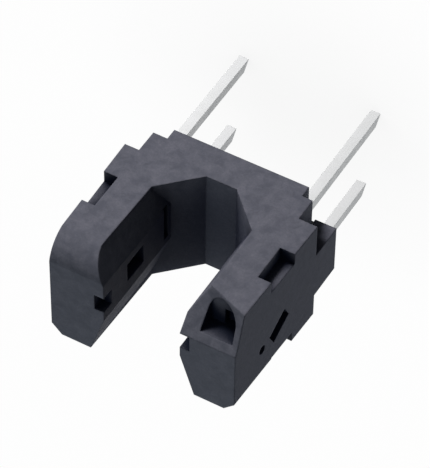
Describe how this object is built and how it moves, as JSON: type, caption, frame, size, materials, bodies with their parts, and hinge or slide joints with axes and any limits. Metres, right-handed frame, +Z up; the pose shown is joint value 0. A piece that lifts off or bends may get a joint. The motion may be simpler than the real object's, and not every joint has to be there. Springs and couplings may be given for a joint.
{
  "type": "slotted optical switch",
  "caption": "Through-hole slotted optical switch: a matte black U-shaped housing holds an infrared emitter facing a phototransistor, and senses whatever breaks the beam in its slot",
  "frame": {"origin": "centre of the housing's seating face, on the board's top surface and midway between the four leads", "axes": "+Z up from the board, the slot opens towards +Z and the leads point to -Z; +X across the slot, from the detector arm to the emitter arm; +Y along the slot, from the longer front leads to the shorter rear ones"},
  "size_m": [0.0068, 0.004, 0.0104],
  "materials": {
    "housing": "matte moulded",
    "emitter_epoxy": "smooth, smoke violet tint",
    "detector_epoxy": "smooth, near-black daylight filter",
    "lead_metal": "bright tin plating",
    "emitter_chip": "sawn crystal",
    "detector_chip": "sawn crystal",
    "bond_wire": "bright gold"
  },
  "bodies": {
    "root": {"housing": "housing", "emitter_body": "emitter_epoxy", "detector_body": "detector_epoxy", "emitter_anode_lead": "lead_metal", "emitter_cathode_lead": "lead_metal", "detector_emitter_lead": "lead_metal", "detector_collector_lead": "lead_metal", "emitter_die": "emitter_chip", "detector_die": "detector_chip", "emitter_bond_wire": "bond_wire", "detector_bond_wire": "bond_wire"}
  },
  "joints": []
}
